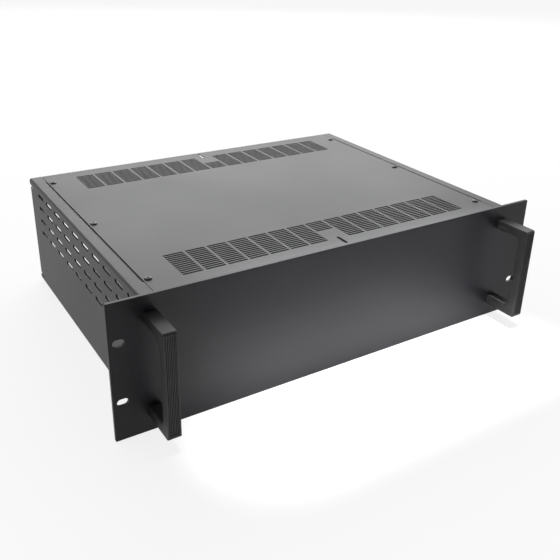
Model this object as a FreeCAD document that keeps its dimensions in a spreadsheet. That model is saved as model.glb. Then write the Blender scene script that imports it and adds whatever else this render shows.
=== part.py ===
"""Rack-mount sheet metal chassis, three units high, with two bow handles.

The frame: X runs along the front panel, Y runs from the rack's mounting plane towards the
back, Z is up. The origin is the centre of the four rack slots on the panel's rear face.
"""
import FreeCAD, Part
import math
import os

import Sketcher

Vector = FreeCAD.Vector

# Driving dimensions in millimetres, grouped by the piece that they describe.
DIMENSIONS = {
    # Front panel and its rack slots
    "panel_width": 482.6,
    "panel_height": 132.5,
    "panel_sheet": 3.0,
    "panel_corner": 1.0,
    "rack_pitch_across": 465.1,
    "rack_pitch_up": 57.15,
    "rack_slot_length": 10.3,
    "rack_slot_width": 7.0,
    # Body made by the two side panels and the two covers
    "body_width": 423.0,
    "body_height": 127.0,
    "body_depth": 331.0,
    "side_sheet": 1.5,
    "bend_inside": 1.0,
    "strip_width": 13.4,
    "return_width": 14.3,
    # Joggled ledge that carries a cover
    "ledge_reach": 25.0,
    "ledge_front_margin": 24.0,
    "ledge_rear_margin": 20.5,
    "joggle_run": 1.2,
    "joggle_overlap": 1.5,
    "joggle_back": 0.6,
    # Bend reliefs at the four corners of a side panel
    "relief_length": 14.0,
    "relief_height": 3.0,
    "relief_inset": 7.8,
    # Vent slots in a side panel
    "side_slot_length": 20.0,
    "side_slot_width": 4.0,
    "side_slot_pitch": 30.0,
    "side_slot_columns": 10,
    "side_slot_front_margin": 17.5,
    "side_row_pitch": 15.0,
    "side_row_count": 4,
    "side_row_inset": 9.4,
    # Covers
    "cover_sheet": 1.2,
    "cover_gap": 1.0,
    "cover_end_gap": 0.5,
    "cover_front_gap": 0.2,
    "vent_length": 19.4,
    "vent_width": 2.1,
    "vent_pitch": 3.85,
    "vent_count": 12,
    "vent_short_count": 6,
    "vent_group_pitch": 22.0,
    "vent_group_count": 15,
    "vent_margin": 19.4,
    "centre_hole_length": 16.0,
    "centre_hole_width": 3.2,
    "centre_hole_margin": 13.7,
    # Cover screws, M4 pan head
    "screw_line": 192.2,
    "screw_margin": 28.0,
    "screw_pitch": 137.5,
    "screw_count": 3,
    "screw_radius": 2.0,
    "screw_length": 8.0,
    "head_radius": 4.0,
    "head_height": 2.1,
    "head_chamfer": 0.7,
    "round_flats": 12,
    "thread_clearance": 0.05,
    "hole_clearance": 0.25,
    # Handles, with the screws that hold handle, panel and side panel together
    "handle_inset": 37.0,
    "handle_width": 12.0,
    "handle_height": 101.6,
    "handle_depth": 40.0,
    "handle_leg": 11.0,
    "handle_grip": 11.0,
    "handle_inner_radius": 5.0,
    "handle_outer_radius": 1.5,
    "handle_edge_chamfer": 0.8,
    "handle_screw_length": 12.0,
    "handle_hole_extra": 1.5,
    # Ribbed strip let into the front of a handle
    "groove_width": 9.0,
    "groove_depth": 1.6,
    "groove_end_margin": 2.4,
    "strip_fit": 0.15,
    "strip_base": 0.9,
    "rib_count": 6,
    "rib_pitch": 1.45,
    "rib_valley": 0.6,
}

# The origin plane across each axis, and whether its normal points along the axis.
PLANES = {"X": ("YZ_Plane", True), "Y": ("XZ_Plane", False), "Z": ("XY_Plane", True)}

doc = FreeCAD.newDocument("RackChassis")
sizes = doc.addObject("Spreadsheet::Sheet", "Sizes")
for row, (alias, number) in enumerate(DIMENSIONS.items(), start=1):
    sizes.set(f"A{row}", alias)
    sizes.set(f"B{row}", str(number))
    sizes.setAlias(f"B{row}", alias)
doc.recompute()


def bound(text):
    """Return an expression with each alias word pointed at the sheet."""
    spaced = text.replace("(", "( ").replace(")", " )")
    return " ".join(f"Sizes.{word}" if word in DIMENSIONS else word for word in spaced.split())


def value(text):
    """Return the number that an expression of aliases stands for."""
    return float(sizes.evalExpression(bound(text)))


def origin_item(body, role):
    """Return one plane or axis of a body's own origin."""
    return [item for item in body.Origin.OriginFeatures if item.Role == role][0]


def new_body(name):
    """Return an empty body with its own label."""
    body = doc.addObject("PartDesign::Body", name)
    body.Label = name
    return body


def new_sketch(body, name, axis, at):
    """Return a sketch across an axis, at a place along it."""
    role, along = PLANES[axis]
    sketch = body.newObject("Sketcher::SketchObject", f"{body.Name}_{name}")
    sketch.AttachmentSupport = (origin_item(body, role), [""])
    sketch.MapMode = "FlatFace"
    sketch.setExpression("AttachmentOffset.Base.z", bound(at) if along else bound(f"- ({at})"))
    return sketch


def fix(sketch, constraint, text):
    """Add a dimension to a sketch and bind it to the sheet."""
    number = sketch.addConstraint(constraint)
    sketch.setExpression(f"Constraints[{number}]", bound(text))


def fix_point(sketch, item, end, across, up):
    """Hold one point of a sketch at its distances from the sketch's origin."""
    fix(sketch, Sketcher.Constraint("DistanceX", -1, 1, item, end, value(across)), across)
    fix(sketch, Sketcher.Constraint("DistanceY", -1, 1, item, end, value(up)), up)


def draw_polygon(sketch, corners):
    """Draw a closed outline through corners given as pairs of expressions."""
    points = [Vector(value(across), value(up), 0) for across, up in corners]
    first = sketch.GeometryCount
    for start, end in zip(points, points[1:] + points[:1]):
        sketch.addGeometry(Part.LineSegment(start, end))
    for index, (across, up) in enumerate(corners):
        before = first + (index - 1) % len(corners)
        sketch.addConstraint(Sketcher.Constraint("Coincident", before, 2, first + index, 1))
        fix_point(sketch, first + index, 1, across, up)


def draw_box(sketch, left, right, low, high):
    """Draw an upright rectangle between four limits."""
    draw_polygon(sketch, [(left, low), (right, low), (right, high), (left, high)])


def draw_round(sketch, across, up, radius):
    """Draw a screw's hole with the few flats that such repeats get, which lie round its circle."""
    flats = int(value("round_flats"))
    half_turn = math.pi / flats
    reach = 1 / math.cos(half_turn)
    corners = []
    for number in range(flats):
        angle = (2 * number + 1) * half_turn
        corners.append((f"{across} + ({radius}) * {reach * math.cos(angle):.9f}",
                        f"{up} + ({radius}) * {reach * math.sin(angle):.9f}"))
    draw_polygon(sketch, corners)


def draw_flat_slot(sketch, across, up, length, width):
    """Draw a slot whose round ends have three flats each, for slots that repeat often."""
    slope = math.tan(math.pi / 8)
    end, side = f"({length}) / 2", f"({width}) / 2"
    knee, tip = f"({end} - {side} * {1 - slope:.9f})", f"{side} * {slope:.9f}"
    draw_polygon(sketch, [
        (f"{across} - {knee}", f"{up} - {side}"), (f"{across} + {knee}", f"{up} - {side}"),
        (f"{across} + {end}", f"{up} - {tip}"), (f"{across} + {end}", f"{up} + {tip}"),
        (f"{across} + {knee}", f"{up} + {side}"), (f"{across} - {knee}", f"{up} + {side}"),
        (f"{across} - {end}", f"{up} + {tip}"), (f"{across} - {end}", f"{up} - {tip}")])


def draw_oblong(sketch, across, up, length, width, upright=False):
    """Draw a round-ended slot that lies across the sketch, or stands up in it."""
    reach = f"({length} - {width}) / 2"
    radius = f"{width} / 2"
    bend = value(radius)
    turn = math.pi / 2 if upright else 0.0
    along = Vector(math.cos(turn), math.sin(turn), 0)
    lift = Vector(-along.y, along.x, 0) * bend
    middle = Vector(value(across), value(up), 0)
    tail, head = middle - along * value(reach), middle + along * value(reach)
    tail_circle = Part.Circle(tail, Vector(0, 0, 1), bend)
    head_circle = Part.Circle(head, Vector(0, 0, 1), bend)
    tail_arc = Part.ArcOfCircle(tail_circle, turn + math.pi / 2, turn + 3 * math.pi / 2)
    head_arc = Part.ArcOfCircle(head_circle, turn - math.pi / 2, turn + math.pi / 2)
    back = sketch.addGeometry(tail_arc)
    low = sketch.addGeometry(Part.LineSegment(tail - lift, head - lift))
    front = sketch.addGeometry(head_arc)
    high = sketch.addGeometry(Part.LineSegment(head + lift, tail + lift))
    loop = [(back, 2, low, 1), (low, 2, front, 1), (front, 2, high, 1), (high, 2, back, 1)]
    for one, one_end, other, other_end in loop:
        sketch.addConstraint(Sketcher.Constraint("Tangent", one, one_end, other, other_end))
    for arc, sign in ((back, "-"), (front, "+")):
        moved_across = across if upright else f"{across} {sign} {reach}"
        moved_up = f"{up} {sign} {reach}" if upright else up
        fix_point(sketch, arc, 3, moved_across, moved_up)
        fix(sketch, Sketcher.Constraint("Radius", arc, bend), radius)


def add_pad(body, name, axis, start, end, draw):
    """Add material between two places along an axis, with an outline drawn by draw."""
    sketch = new_sketch(body, f"{name}_sketch", axis, start)
    draw(sketch)
    pad = body.newObject("PartDesign::Pad", f"{body.Name}_{name}")
    pad.Profile = sketch
    pad.Reversed = not PLANES[axis][1]
    pad.setExpression("Length", bound(f"({end}) - ({start})"))
    doc.recompute()
    return pad


def add_pocket(body, name, axis, start, end, draw):
    """Cut material away between two places along an axis, and check that it went."""
    before = body.Shape.Volume
    sketch = new_sketch(body, f"{name}_sketch", axis, start)
    draw(sketch)
    pocket = body.newObject("PartDesign::Pocket", f"{body.Name}_{name}")
    pocket.Profile = sketch
    pocket.Reversed = PLANES[axis][1]
    pocket.setExpression("Length", bound(f"({end}) - ({start})"))
    doc.recompute()
    if body.Shape.Volume >= before:
        raise RuntimeError(f"{pocket.Name} cuts nothing")
    return pocket


def add_grid(body, name, feature, first, second=None):
    """Repeat a cut along one or two axes, each given as axis, pitch and count."""
    pattern = body.newObject("PartDesign::LinearPattern", f"{body.Name}_{name}")
    pattern.Originals = [feature]
    for suffix, run in (("", first), ("2", second)):
        if run is None:
            continue
        axis, pitch, count = run
        setattr(pattern, f"Direction{suffix}", (origin_item(body, f"{axis}_Axis"), [""]))
        setattr(pattern, f"Mode{suffix}", "Extent")
        pattern.setExpression(f"Length{suffix}", bound(f"({pitch}) * (({count}) - 1)"))
        pattern.setExpression(f"Occurrences{suffix}", bound(count))
    body.Tip = pattern
    doc.recompute()
    return pattern


def add_prism(body, name, low, high, radius):
    """Add an upright round between two heights, drawn with few flats."""
    prism = body.newObject("PartDesign::AdditivePrism", f"{body.Name}_{name}")
    prism.AttachmentSupport = (origin_item(body, "XY_Plane"), [""])
    prism.MapMode = "FlatFace"
    prism.setExpression("AttachmentOffset.Base.z", bound(low))
    prism.setExpression("Polygon", bound("round_flats"))
    prism.setExpression("Circumradius", bound(radius))
    prism.setExpression("Height", bound(f"({high}) - ({low})"))
    doc.recompute()
    return prism


def dress_edges(body, name, kind, wanted, size):
    """Fillet or chamfer the edges of a body that wanted picks out by their two ends."""
    feature = body.Tip
    names = []
    for number, edge in enumerate(feature.Shape.Edges, start=1):
        start, end = edge.Vertexes[0].Point, edge.Vertexes[-1].Point
        if wanted(start, end):
            names.append(f"Edge{number}")
    dressed = body.newObject(f"PartDesign::{kind}", f"{body.Name}_{name}")
    dressed.Base = (feature, names)
    dressed.setExpression("Radius" if kind == "Fillet" else "Size", bound(size))
    doc.recompute()
    return dressed


def near(one, other):
    """Say whether two lengths are the same but for rounding."""
    return abs(one - other) < 1e-4


def upright_at(x, y):
    """Return a test for upright edges at one place in plan."""
    def test(start, end):
        flat = near(start.x, end.x) and near(start.y, end.y)
        return flat and not near(start.z, end.z) and near(start.x, x) and near(start.y, y)
    return test


# Places that several pieces share.
HALF_HEIGHT = "body_height / 2"
LEFT = "- body_width / 2"
COVER_EDGE = "body_width / 2 - strip_width - cover_gap"
COVER_FLOOR = "body_height / 2 - cover_sheet"
HANDLE_HOLE_UP = "(handle_height - handle_leg) / 2"
CLEAR_HOLE = "screw_radius + hole_clearance"
TAPPED_HOLE = "screw_radius + thread_clearance"
LEDGE_START = "ledge_front_margin"
LEDGE_END = "body_depth - ledge_rear_margin"
RETURN_TOP = "body_height / 2 - relief_inset - relief_height / 2"


def build_front_panel():
    """Flat plate with four rack slots and the holes for the handle screws."""
    body = new_body("front_panel")

    def plate(sketch):
        draw_box(sketch, "- panel_width / 2", "panel_width / 2",
                 "- panel_height / 2", "panel_height / 2")

    def rack_slots(sketch):
        for side in ("-", ""):
            for level in ("-", ""):
                draw_oblong(sketch, f"{side} rack_pitch_across / 2",
                            f"{level} rack_pitch_up / 2", "rack_slot_length", "rack_slot_width")

    def handle_holes(sketch):
        for side in ("-", ""):
            for level in ("-", ""):
                draw_round(sketch, f"{side} (panel_width / 2 - handle_inset)",
                            f"{level} {HANDLE_HOLE_UP}", CLEAR_HOLE)

    add_pad(body, "plate", "Y", "- panel_sheet", "0", plate)
    half_width, half_height = value("panel_width / 2"), value("panel_height / 2")

    def corner(start, end):
        through = not near(start.y, end.y)
        return through and near(abs(start.x), half_width) and near(abs(start.z), half_height)

    dress_edges(body, "corners", "Fillet", corner, "panel_corner")
    add_pocket(body, "rack_slots", "Y", "- panel_sheet", "0", rack_slots)
    add_pocket(body, "handle_holes", "Y", "- panel_sheet", "0", handle_holes)
    return body


def add_ledges(body):
    """Joggle the edges of the two strips into ledges that lie under the covers."""
    bend_start = "strip_width - joggle_run"

    def spare_edge(sketch):
        for level in ("", "-"):
            draw_box(sketch, f"{LEFT} + {bend_start}",
                     f"{LEFT} + strip_width + cover_gap - cover_end_gap",
                     f"{level} ({HALF_HEIGHT} - side_sheet)", f"{level} {HALF_HEIGHT}")

    def ledge(sketch):
        for level in ("", "-"):
            section = [
                (f"{bend_start} - joggle_overlap", "0"),
                (bend_start, "0"),
                ("strip_width", "cover_sheet"),
                ("ledge_reach", "cover_sheet"),
                ("ledge_reach", "cover_sheet + side_sheet"),
                ("strip_width - joggle_back", "cover_sheet + side_sheet"),
                (f"{bend_start} - joggle_back", "side_sheet"),
                (f"{bend_start} - joggle_overlap", "side_sheet"),
            ]
            corners = [(f"{LEFT} + {inwards}", f"{level} ({HALF_HEIGHT} - ({down}))")
                       for inwards, down in section]
            draw_polygon(sketch, corners)

    add_pocket(body, "spare_edge", "Y", LEDGE_START, LEDGE_END, spare_edge)
    add_pad(body, "ledges", "Y", LEDGE_START, LEDGE_END, ledge)

    def tapped(sketch):
        draw_round(sketch, "- screw_line", "screw_margin", TAPPED_HOLE)

    levels = {"top": (f"{COVER_FLOOR} - side_sheet", COVER_FLOOR),
              "bottom": (f"- ({COVER_FLOOR})", f"- ({COVER_FLOOR} - side_sheet)")}
    for name, (low, high) in levels.items():
        hole = add_pocket(body, f"{name}_tapped", "Z", low, high, tapped)
        add_grid(body, f"{name}_tapped_row", hole, ("Y", "screw_pitch", "screw_count"))


def build_side_panel():
    """Left side: one folded sheet with strips, ledges, end returns, reliefs and vents."""
    body = new_body("left_side_panel")
    strip_end = f"{LEFT} + strip_width + cover_gap - cover_end_gap"
    inside = f"{LEFT} + side_sheet"

    def channel(sketch):
        draw_polygon(sketch, [
            (LEFT, f"- {HALF_HEIGHT}"), (strip_end, f"- {HALF_HEIGHT}"),
            (strip_end, f"- {HALF_HEIGHT} + side_sheet"),
            (inside, f"- {HALF_HEIGHT} + side_sheet"),
            (inside, f"{HALF_HEIGHT} - side_sheet"), (strip_end, f"{HALF_HEIGHT} - side_sheet"),
            (strip_end, HALF_HEIGHT), (LEFT, HALF_HEIGHT)])

    def returns(sketch):
        draw_box(sketch, LEFT, f"{LEFT} + return_width", "0", "side_sheet")
        draw_box(sketch, LEFT, f"{LEFT} + return_width", "body_depth - side_sheet", "body_depth")

    def reliefs(sketch):
        for level in ("", "-"):
            low, high = f"{level} ({RETURN_TOP})", f"{level} ({RETURN_TOP} + relief_height)"
            draw_box(sketch, "0", "relief_length", low, high)
            draw_box(sketch, "body_depth - relief_length", "body_depth", low, high)

    def vent(sketch):
        lowest = f"{HALF_HEIGHT} - side_row_inset - (side_row_count - 1) * side_row_pitch"
        draw_flat_slot(sketch, "side_slot_front_margin", lowest, "side_slot_length",
                       "side_slot_width")

    def front_holes(sketch):
        for level in ("-", ""):
            draw_round(sketch, "- panel_width / 2 + handle_inset",
                        f"{level} {HANDLE_HOLE_UP}", CLEAR_HOLE)

    add_pad(body, "channel", "Y", "0", "body_depth", channel)
    half, left, sheet = value(HALF_HEIGHT), value(LEFT), value("side_sheet")
    depth = value("body_depth")

    def outer_fold(start, end):
        return near(start.x, left) and near(end.x, left) and near(abs(start.z), half) \
            and near(start.z, end.z)

    def inner_fold(start, end):
        return near(start.x, left + sheet) and near(end.x, left + sheet) \
            and near(abs(start.z), half - sheet) and near(start.z, end.z)

    dress_edges(body, "outer_folds", "Fillet", outer_fold, "bend_inside + side_sheet")
    dress_edges(body, "inner_folds", "Fillet", inner_fold, "bend_inside")
    add_pocket(body, "reliefs", "X", LEFT, inside, reliefs)
    add_pad(body, "returns", "Z", f"- ({RETURN_TOP})", RETURN_TOP, returns)
    return_top = value(RETURN_TOP)

    def return_fold(x, y):
        column = upright_at(x, y)
        return lambda start, end: column(start, end) and near(abs(start.z), return_top) \
            and near(abs(end.z), return_top)

    for name, x, y, radius in (
            ("front_outer", left, 0.0, "bend_inside + side_sheet"),
            ("rear_outer", left, depth, "bend_inside + side_sheet"),
            ("front_inner", left + sheet, sheet, "bend_inside"),
            ("rear_inner", left + sheet, depth - sheet, "bend_inside")):
        dress_edges(body, f"{name}_fold", "Fillet", return_fold(x, y), radius)
    add_ledges(body)
    add_pocket(body, "front_holes", "Y", "0", "side_sheet", front_holes)
    slot = add_pocket(body, "vent", "X", LEFT, inside, vent)
    add_grid(body, "vents", slot, ("Y", "side_slot_pitch", "side_slot_columns"),
             ("Z", "side_row_pitch", "side_row_count"))
    return body


def build_mirrored(name, source):
    """Return a piece that is the mirror image of another about the middle plane."""
    mirrored = doc.addObject("Part::Mirroring", name)
    mirrored.Label = name
    mirrored.Source = source
    mirrored.Normal = Vector(1, 0, 0)
    doc.recompute()
    return mirrored


def build_cover(name, low, high):
    """Flat cover sheet between two levels, with its six screw holes."""
    body = new_body(name)

    def sheet(sketch):
        draw_box(sketch, f"- ({COVER_EDGE})", COVER_EDGE, "cover_front_gap", "body_depth")

    def screw_holes(sketch):
        for side in ("-", ""):
            draw_round(sketch, f"{side} screw_line", "screw_margin", CLEAR_HOLE)

    add_pad(body, "sheet", "Z", low, high, sheet)
    hole = add_pocket(body, "screw_hole", "Z", low, high, screw_holes)
    add_grid(body, "screw_holes", hole, ("Y", "screw_pitch", "screw_count"))
    return body


def add_vents(body, low, high):
    """Cut the two rows of vent groups and the two middle holes into a cover."""
    side_groups = "(vent_group_count - 1) / 2"
    rear_start = "body_depth - vent_margin - (vent_count - 1) * vent_pitch - vent_width"
    inner_start = "vent_margin + (vent_count - vent_short_count) * vent_pitch"

    def slots(sketch):
        for middle in (f"- {side_groups} * vent_group_pitch", "vent_group_pitch"):
            for start in ("vent_margin", rear_start):
                draw_box(sketch, f"{middle} - vent_length / 2", f"{middle} + vent_length / 2",
                         start, f"{start} + vent_width")

    def middle_slots(sketch):
        for start in (inner_start, rear_start):
            draw_box(sketch, "- vent_length / 2", "vent_length / 2",
                     start, f"{start} + vent_width")

    def middle_holes(sketch):
        for place in ("centre_hole_margin", "body_depth - centre_hole_margin"):
            draw_oblong(sketch, "0", place, "centre_hole_length", "centre_hole_width", True)

    group = add_pocket(body, "vent", "Z", low, high, slots)
    add_grid(body, "vent_groups", group, ("X", "vent_group_pitch", side_groups),
             ("Y", "vent_pitch", "vent_count"))
    short = add_pocket(body, "middle_vent", "Z", low, high, middle_slots)
    add_grid(body, "middle_vents", short, ("Y", "vent_pitch", "vent_short_count"))
    add_pocket(body, "middle_holes", "Z", low, high, middle_holes)


def build_handle(name, centre):
    """Moulded bow handle with a groove in its front for the ribbed strip."""
    body = new_body(name)
    foot = "- panel_sheet"
    front = "- panel_sheet - handle_depth"
    back = f"{front} + handle_grip"
    top = "handle_height / 2"
    under = "handle_height / 2 - handle_leg"

    def bow(sketch):
        draw_polygon(sketch, [
            (foot, top), (front, top), (front, f"- {top}"), (foot, f"- {top}"),
            (foot, f"- ({under})"), (back, f"- ({under})"), (back, under), (foot, under)])

    def groove(sketch):
        draw_box(sketch, f"{centre} - groove_width / 2", f"{centre} + groove_width / 2",
                 f"- ({top} - groove_end_margin)", f"{top} - groove_end_margin")

    def screw_holes(sketch):
        for level in ("-", ""):
            draw_round(sketch, centre, f"{level} {HANDLE_HOLE_UP}", TAPPED_HOLE)

    side = "handle_width / 2"
    add_pad(body, "bow", "X", f"{centre} - {side}", f"{centre} + {side}", bow)
    foot_at, front_at, back_at = value(foot), value(front), value(back)
    top_at, under_at = value(top), value(under)
    sides = (value(f"{centre} - {side}"), value(f"{centre} + {side}"))

    def corner_at(y, z):
        def test(start, end):
            across = near(start.y, end.y) and near(start.z, end.z)
            return across and near(start.y, y) and near(abs(start.z), z)
        return test

    def side_edge(start, end):
        in_side = any(near(start.x, x) and near(end.x, x) for x in sides)
        return in_side and not (near(start.y, foot_at) and near(end.y, foot_at))

    dress_edges(body, "inner_corners", "Fillet", corner_at(back_at, under_at), "handle_inner_radius")
    dress_edges(body, "outer_corners", "Fillet", corner_at(front_at, top_at), "handle_outer_radius")
    dress_edges(body, "side_edges", "Chamfer", side_edge, "handle_edge_chamfer")
    add_pocket(body, "groove", "Y", front, f"{front} + groove_depth", groove)
    hole_depth = "handle_screw_length - side_sheet - panel_sheet + handle_hole_extra"
    add_pocket(body, "screw_holes", "Y", f"{foot} - ({hole_depth})", foot, screw_holes)
    return body


def build_grip_strip(name, centre):
    """Ribbed strip that fills the groove of one handle."""
    body = new_body(name)
    floor = "- panel_sheet - handle_depth + groove_depth"
    end = "handle_height / 2 - groove_end_margin - strip_fit"
    first_rib = f"{centre} - (rib_count - 1) / 2 * rib_pitch"
    foot_half = "(rib_pitch - rib_valley) / 2"
    tip_half = "(rib_pitch - rib_valley) / 3"

    def base(sketch):
        draw_box(sketch, f"{centre} - groove_width / 2 + strip_fit",
                 f"{centre} + groove_width / 2 - strip_fit", f"{floor} - strip_base", floor)

    def rib(sketch):
        draw_polygon(sketch, [
            (f"{first_rib} - {foot_half}", f"{floor} - strip_base"),
            (f"{first_rib} - {tip_half}", f"{floor} - groove_depth"),
            (f"{first_rib} + {tip_half}", f"{floor} - groove_depth"),
            (f"{first_rib} + {foot_half}", f"{floor} - strip_base")])

    add_pad(body, "base", "Z", f"- ({end})", end, base)
    first = add_pad(body, "rib", "Z", f"- ({end})", end, rib)
    add_grid(body, "ribs", first, ("X", "rib_pitch", "rib_count"))
    return body


def build_screw(name, length, place, rotation):
    """Pan head screw whose head stands on the surface at place."""
    body = new_body(name)
    add_prism(body, "shank", f"- {length}", "0", "screw_radius")
    add_prism(body, "head", "0", "head_height", "head_radius")
    top = value("head_height")

    def rim(start, end):
        return near(start.z, top) and near(end.z, top)

    dress_edges(body, "crown", "Chamfer", rim, "head_chamfer")
    body.Placement = FreeCAD.Placement(Vector(0, 0, 0), rotation)
    for axis, text in zip("xyz", place):
        body.setExpression(f"Placement.Base.{axis}", bound(text))
    return body


def build_cover_screws(cover, level, rotation):
    """The screws of one cover, three along each side."""
    screws = []
    for side, sign in (("left", "-"), ("right", "")):
        for number in range(int(value("screw_count"))):
            along = f"screw_margin + {number} * screw_pitch"
            place = (f"{sign} screw_line", along, level)
            name = f"{cover}_screw_{side}_{number + 1}"
            screws.append(build_screw(name, "screw_length", place, rotation))
    return screws


def build_handle_screws(side, centre):
    """The two screws that go through side panel and front panel into a handle."""
    rotation = FreeCAD.Rotation(Vector(1, 0, 0), -90)
    screws = []
    for end, sign in (("lower", "-"), ("upper", "")):
        place = (centre, "side_sheet", f"{sign} {HANDLE_HOLE_UP}")
        name = f"{side}_handle_screw_{end}"
        screws.append(build_screw(name, "handle_screw_length", place, rotation))
    return screws


left_side = build_side_panel()
pieces = [build_front_panel(), left_side, build_mirrored("right_side_panel", left_side)]
top_cover = build_cover("top_cover", COVER_FLOOR, HALF_HEIGHT)
add_vents(top_cover, COVER_FLOOR, HALF_HEIGHT)
pieces.append(top_cover)
pieces.append(build_cover("bottom_cover", f"- {HALF_HEIGHT}", f"- ({COVER_FLOOR})"))
pieces += build_cover_screws("top_cover", HALF_HEIGHT, FreeCAD.Rotation())
upside_down = FreeCAD.Rotation(Vector(1, 0, 0), 180)
pieces += build_cover_screws("bottom_cover", f"- {HALF_HEIGHT}", upside_down)
handle_centres = {"left": "- panel_width / 2 + handle_inset",
                  "right": "panel_width / 2 - handle_inset"}
for handle_side, handle_centre in handle_centres.items():
    pieces.append(build_handle(f"{handle_side}_handle", handle_centre))
    pieces.append(build_grip_strip(f"{handle_side}_grip_strip", handle_centre))
    pieces += build_handle_screws(handle_side, handle_centre)

doc.recompute()
for item in doc.Objects:
    if "Invalid" in item.State or "Error" in item.State:
        raise RuntimeError(f"{item.Label} failed: {item.State}")
for piece in pieces:
    if piece.Shape.isNull() or not piece.Shape.isValid() or len(piece.Shape.Solids) != 1:
        raise RuntimeError(f"{piece.Label} is not one sound solid")

os.makedirs("parts", exist_ok=True)
for piece in pieces:
    piece.Shape.exportStep(f"parts/{piece.Label}.step")
    print(f"{piece.Label}: {piece.Shape.Volume / 1000:.3f} cm3")
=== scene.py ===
"""Looks of a three unit rack chassis: powder coated sheets, moulded handles and black screws.

All sizes are in millimetres and are turned into metres where the meshes are made. X runs
along the front panel, Y from the panel back into the case, Z up, as in the solid model.
"""

import logging
import math
from dataclasses import dataclass, field
from enum import Enum

import bpy
from mathutils import Matrix, Vector

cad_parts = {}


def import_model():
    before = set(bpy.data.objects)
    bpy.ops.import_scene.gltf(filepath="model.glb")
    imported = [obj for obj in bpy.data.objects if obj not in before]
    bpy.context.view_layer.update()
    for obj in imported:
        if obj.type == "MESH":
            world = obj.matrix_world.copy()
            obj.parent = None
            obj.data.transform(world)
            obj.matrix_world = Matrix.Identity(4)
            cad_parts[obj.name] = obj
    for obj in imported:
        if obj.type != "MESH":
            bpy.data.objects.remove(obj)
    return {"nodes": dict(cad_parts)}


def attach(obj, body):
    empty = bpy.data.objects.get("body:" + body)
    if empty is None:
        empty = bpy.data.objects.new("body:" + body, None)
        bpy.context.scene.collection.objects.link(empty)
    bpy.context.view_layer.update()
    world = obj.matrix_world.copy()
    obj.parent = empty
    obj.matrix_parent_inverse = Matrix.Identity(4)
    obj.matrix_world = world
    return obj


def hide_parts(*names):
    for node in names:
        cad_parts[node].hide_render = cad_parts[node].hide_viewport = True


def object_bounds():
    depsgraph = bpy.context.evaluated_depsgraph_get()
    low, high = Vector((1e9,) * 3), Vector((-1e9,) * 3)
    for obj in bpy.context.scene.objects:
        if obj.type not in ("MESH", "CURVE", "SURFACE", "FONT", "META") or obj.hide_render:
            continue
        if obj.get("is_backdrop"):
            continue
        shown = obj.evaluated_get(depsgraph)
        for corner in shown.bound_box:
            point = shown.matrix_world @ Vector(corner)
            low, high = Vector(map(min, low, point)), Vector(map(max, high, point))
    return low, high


LOG = logging.getLogger("rack_chassis")
MM = 0.001
# The lower or left one of a pair, then the upper or right one.
SIGNS = (-1, 1)
# The least turn, in degrees, of an edge that counts as sharp.
SHARP = 35.0
# How many flats a round hole or a slot's two ends have.
HOLE_FLATS = 32
SLOT_FLATS = 20
Pair = tuple[float, float]
Point = tuple[float, float, float]
Outline = list[Pair]
Piece = bpy.types.Object
Finish = bpy.types.Material


class Side(Enum):
    """The two ends of the chassis, with the sign of their X."""

    LEFT = -1
    RIGHT = 1


class Joint(Enum):
    """How one shape meets another, as the boolean modifier names it."""

    CUT = "DIFFERENCE"
    JOIN = "UNION"


class Across(Enum):
    """The axis that a traced outline is extruded along."""

    X = 0
    Y = 1
    Z = 2


# Modelling by hand: primitives, edit mode operators and applied modifiers.


def deselect_all() -> None:
    """Leave nothing selected, in object mode."""
    if bpy.context.object and bpy.context.object.mode != "OBJECT":
        bpy.ops.object.mode_set(mode="OBJECT")
    bpy.ops.object.select_all(action="DESELECT")


def pick(piece: Piece) -> None:
    """Select one piece alone and make it active.

    Args:
        piece: The piece to work on.
    """
    deselect_all()
    piece.select_set(True)
    bpy.context.view_layer.objects.active = piece


def settle(piece: Piece) -> None:
    """Put a piece's place, turn and scale into its mesh."""
    pick(piece)
    bpy.ops.object.transform_apply(location=True, rotation=True, scale=True)


def face_out() -> None:
    """Turn all faces of the open mesh outwards and leave edit mode."""
    bpy.ops.mesh.select_all(action="SELECT")
    bpy.ops.mesh.normals_make_consistent(inside=False)
    bpy.ops.object.mode_set(mode="OBJECT")


def block(name: str, low: Point, high: Point) -> Piece:
    """Add a block between two corners.

    Args:
        name: The block's name.
        low: Its lowest corner.
        high: Its highest corner.

    Returns:
        The block, with its place in its mesh.
    """
    deselect_all()
    centre = [(a + b) / 2 * MM for a, b in zip(low, high)]
    bpy.ops.mesh.primitive_cube_add(size=1, location=centre)
    piece = bpy.context.object
    piece.name = name
    piece.scale = [(b - a) * MM for a, b in zip(low, high)]
    settle(piece)
    return piece


def drum(name: str, centre: Point, radius: float, depth: float, axis: Across,
         sides: int = HOLE_FLATS) -> Piece:
    """Add a cylinder whose flats are tangent to its round.

    Args:
        name: The cylinder's name.
        centre: Its middle.
        radius: Its radius.
        depth: Its length.
        axis: The axis that it lies along.
        sides: How many flats it has.

    Returns:
        The cylinder.
    """
    deselect_all()
    turn = {Across.X: (0, math.pi / 2, 0), Across.Y: (math.pi / 2, 0, 0), Across.Z: (0, 0, 0)}
    bpy.ops.mesh.primitive_cylinder_add(
        vertices=sides, radius=radius * MM / math.cos(math.pi / sides), depth=depth * MM)
    piece = bpy.context.object
    piece.name = name
    piece.rotation_euler = (0, 0, math.pi / sides)
    settle(piece)
    piece.rotation_euler = turn[axis]
    piece.location = [c * MM for c in centre]
    settle(piece)
    return piece


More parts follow.
